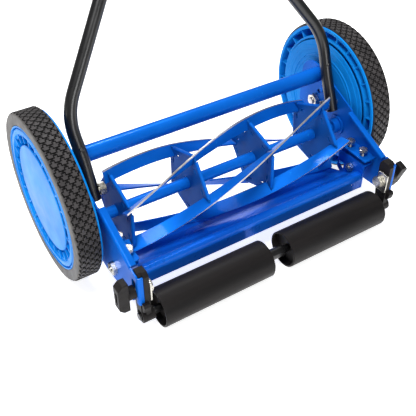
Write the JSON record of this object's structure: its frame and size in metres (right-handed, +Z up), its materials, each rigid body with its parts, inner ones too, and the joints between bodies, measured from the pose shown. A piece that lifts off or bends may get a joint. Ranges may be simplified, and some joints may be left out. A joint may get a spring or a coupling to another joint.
{
  "type": "reel mower",
  "caption": "Hand-pushed reel lawn mower: geared wheels drive a helical-blade reel against a bed knife, with rear rollers set by clamp knobs and a folding push handle.",
  "frame": {"origin": "centre of the bottom of the bounding box, on the ground between the wheels and the rollers", "axes": "+Z up, +Y the way the mower is pushed, +X to the right of the person pushing"},
  "size_m": [0.559, 0.5454, 1.0835],
  "materials": {
    "blue_paint": "gloss blue stove enamel on sheet steel",
    "blue_plastic": "moulded blue plastic, half gloss",
    "black_paint": "gloss black enamel on steel tube",
    "black_plastic": "satin black plastic",
    "tyre_rubber": "dark grey rubber with a block tread",
    "zinc": "bright zinc plate",
    "steel": "bare ground steel",
    "grip_foam": "black foam sleeve"
  },
  "bodies": {
    "frame": {"side_plate_left": "blue_paint", "side_plate_right": "blue_paint", "cross_tube": "blue_paint", "cross_tube_bolt_left": "zinc", "cross_tube_bolt_right": "zinc", "axle_left": "steel", "axle_right": "steel", "axle_nut_left": "zinc", "axle_nut_right": "zinc", "gear_cover_left": "blue_plastic", "gear_cover_right": "blue_plastic", "reel_bearing_left": "blue_paint", "reel_bearing_right": "blue_paint", "bed_pivot_bolt_left": "zinc", "bed_pivot_bolt_right": "zinc", "handle_pivot_bolt_left": "zinc", "handle_pivot_bolt_right": "zinc"},
    "reel": {"reel_shaft": "blue_paint", "reel_blade_1": "blue_paint", "reel_blade_2": "blue_paint", "reel_blade_3": "blue_paint", "reel_blade_4": "blue_paint", "reel_blade_5": "blue_paint", "reel_spider_1": "blue_paint", "reel_spider_2": "blue_paint", "reel_spider_3": "blue_paint", "reel_spider_4": "blue_paint", "pinion_left": "steel", "pinion_right": "steel"},
    "wheel_left": {"wheel_left": "blue_plastic", "tyre_left": "tyre_rubber", "wheel_cover_left": "blue_plastic"},
    "wheel_right": {"wheel_right": "blue_plastic", "tyre_right": "tyre_rubber", "wheel_cover_right": "blue_plastic"},
    "bed": {"bed_bar": "blue_paint", "bed_knife": "steel"},
    "bed_screws_front": {"bed_screw_front_left": "zinc", "bed_screw_front_right": "zinc"},
    "bed_screws_rear": {"bed_screw_rear_left": "zinc", "bed_screw_rear_right": "zinc"},
    "height": {"roller_shaft": "black_paint", "roller_bracket_left": "black_plastic", "roller_bracket_right": "black_plastic", "height_bolt_left": "zinc", "height_bolt_right": "zinc"},
    "roller_left": {"roller_left": "black_plastic"},
    "roller_right": {"roller_right": "black_plastic"},
    "knob_left": {"height_knob_left": "black_plastic"},
    "knob_right": {"height_knob_right": "black_plastic"},
    "handle": {"handle_lower_left": "black_paint", "handle_lower_right": "black_paint", "handle_upper": "black_paint", "handle_grip": "grip_foam", "handle_bolt_bottom_left": "zinc", "handle_bolt_bottom_right": "zinc", "handle_bolt_top_left": "zinc", "handle_bolt_top_right": "zinc"}
  },
  "joints": [
    {"name": "reel_spin", "type": "hinge", "parent": "frame", "child": "reel", "pos_m": [0, -0.11025, 0.10872], "axis": [1, 0, 0], "continuous": true},
    {"name": "wheel_left_spin", "type": "hinge", "parent": "frame", "child": "wheel_left", "pos_m": [0, -0.0514, 0.12879], "axis": [1, 0, 0], "continuous": true},
    {"name": "wheel_right_spin", "type": "hinge", "parent": "frame", "child": "wheel_right", "pos_m": [0, -0.0514, 0.12879], "axis": [1, 0, 0], "continuous": true},
    {"name": "bed_adjust", "type": "hinge", "parent": "frame", "child": "bed", "pos_m": [0, -0.17939, 0.07146], "axis": [1, 0, 0], "range_deg": [-2.5, 0]},
    {"name": "bed_screws_front_turn_down", "type": "slide", "parent": "frame", "child": "bed_screws_front", "axis": [0, -0.0181, 0.9998], "range_m": [-0.0008, 0]},
    {"name": "bed_screws_rear_turn_up", "type": "slide", "parent": "frame", "child": "bed_screws_rear", "axis": [0, -0.0181, 0.9998], "range_m": [0, 0.0006]},
    {"name": "cutting_height", "type": "slide", "parent": "frame", "child": "height", "axis": [0, -0.0181, 0.9998], "range_m": [-0.012, 0.015]},
    {"name": "roller_left_spin", "type": "hinge", "parent": "height", "child": "roller_left", "pos_m": [0, -0.24363, 0.02928], "axis": [1, 0, 0], "continuous": true},
    {"name": "roller_right_spin", "type": "hinge", "parent": "height", "child": "roller_right", "pos_m": [0, -0.24363, 0.02928], "axis": [1, 0, 0], "continuous": true},
    {"name": "knob_left_turn", "type": "hinge", "parent": "height", "child": "knob_left", "pos_m": [0, -0.23798, 0.0759], "axis": [1, 0, 0], "continuous": true},
    {"name": "knob_right_turn", "type": "hinge", "parent": "height", "child": "knob_right", "pos_m": [0, -0.23798, 0.0759], "axis": [1, 0, 0], "continuous": true},
    {"name": "handle_tilt", "type": "hinge", "parent": "frame", "child": "handle", "pos_m": [0, -0.10078, 0.14889], "axis": [1, 0, 0], "range_deg": [0, 90]}
  ],
  "couplings": [
    {"joint": "wheel_left_spin", "follows": "reel_spin", "ratio": 0.18182},
    {"joint": "wheel_right_spin", "follows": "reel_spin", "ratio": 0.18182},
    {"joint": "bed_screws_front_turn_down", "follows": "bed_adjust", "m_per_rad": 0.017},
    {"joint": "bed_screws_rear_turn_up", "follows": "bed_adjust", "m_per_rad": -0.013}
  ]
}
